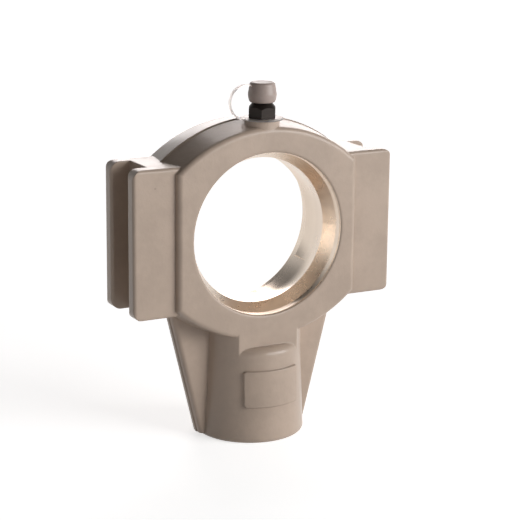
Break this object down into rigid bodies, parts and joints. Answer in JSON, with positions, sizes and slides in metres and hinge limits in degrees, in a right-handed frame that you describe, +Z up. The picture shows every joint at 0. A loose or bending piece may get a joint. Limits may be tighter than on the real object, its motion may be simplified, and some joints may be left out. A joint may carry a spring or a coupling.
{
  "type": "take-up bearing housing",
  "caption": "Take-up bearing housing: bored head between grooved guide rails, screw boss below, capped grease nipple on top.",
  "frame": {"origin": "centre of the spherical bearing seat", "axes": "+Z up away from the screw boss, along the guide rails; +Y along the seat's axis towards the side with the loading slots; +X across the rails"},
  "size_m": [0.089, 0.0348, 0.1119],
  "materials": {
    "housing_paint": "warm grey satin paint on a fine cast skin",
    "nipple_steel": "blackened turned steel",
    "valve_steel": "bright steel",
    "cap_plastic": "translucent natural plastic"
  },
  "bodies": {
    "casting": {"housing": "housing_paint", "grease_nipple": "nipple_steel", "nipple_spring": "valve_steel", "cap_strap": "cap_plastic"},
    "cap": {"dust_cap": "cap_plastic"},
    "ball": {"nipple_ball": "valve_steel"}
  },
  "joints": [
    {"name": "cap_pull", "type": "slide", "parent": "casting", "child": "cap", "axis": [0, 0, 1], "range_m": [0, 0.008], "deforming": ["cap_strap"]},
    {"name": "ball_press", "type": "slide", "parent": "casting", "child": "ball", "axis": [0, 0, -1], "range_m": [0, 0.0008], "stiffness_N_per_m": 400, "springref_m": -0.002, "deforming": ["nipple_spring"]}
  ]
}
